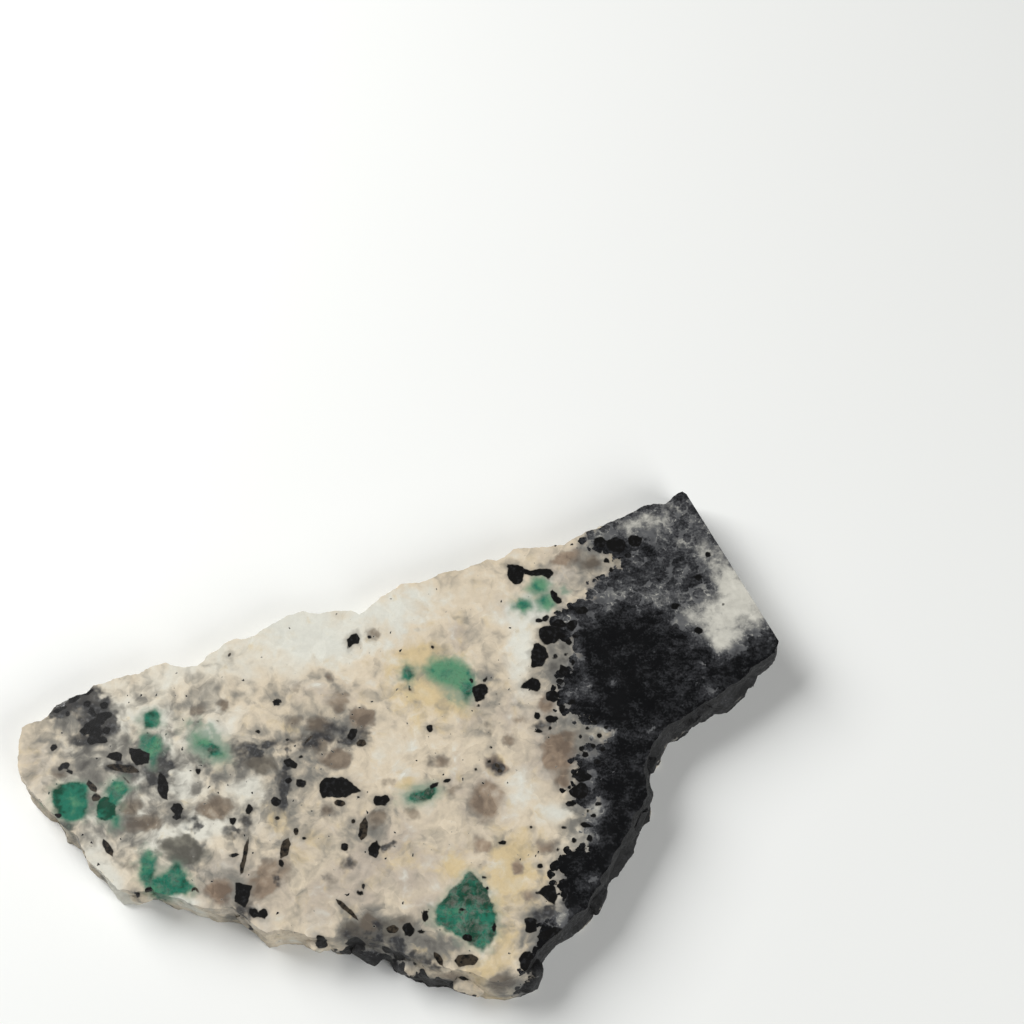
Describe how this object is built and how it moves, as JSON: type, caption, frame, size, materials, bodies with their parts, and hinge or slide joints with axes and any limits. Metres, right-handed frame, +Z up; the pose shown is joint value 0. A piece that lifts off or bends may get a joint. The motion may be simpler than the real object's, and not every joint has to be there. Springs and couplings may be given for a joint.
{
  "type": "emerald slab",
  "caption": "Thin flat slice of pale quartz and feldspar rock set with green emerald crystals, black grains and a band of dark mica schist, sawn on both faces with a broken rim",
  "frame": {"origin": "middle of the slab's bounding box in plan, on the plane of the resting face (z = 0)", "axes": "+Z up out of the show face, through the thin direction; +X along the longest extent, from the rounded tip toward the sawn edge; +Y across the slab toward its longer broken edge"},
  "size_m": [0.0472, 0.032, 0.003],
  "materials": {
    "stone": "two sawn and smoothly polished faces showing cream quartz and feldspar, green emerald, black grains and dark schist, with a rough matt broken rim"
  },
  "bodies": {
    "root": {"slab": "stone"}
  },
  "joints": []
}
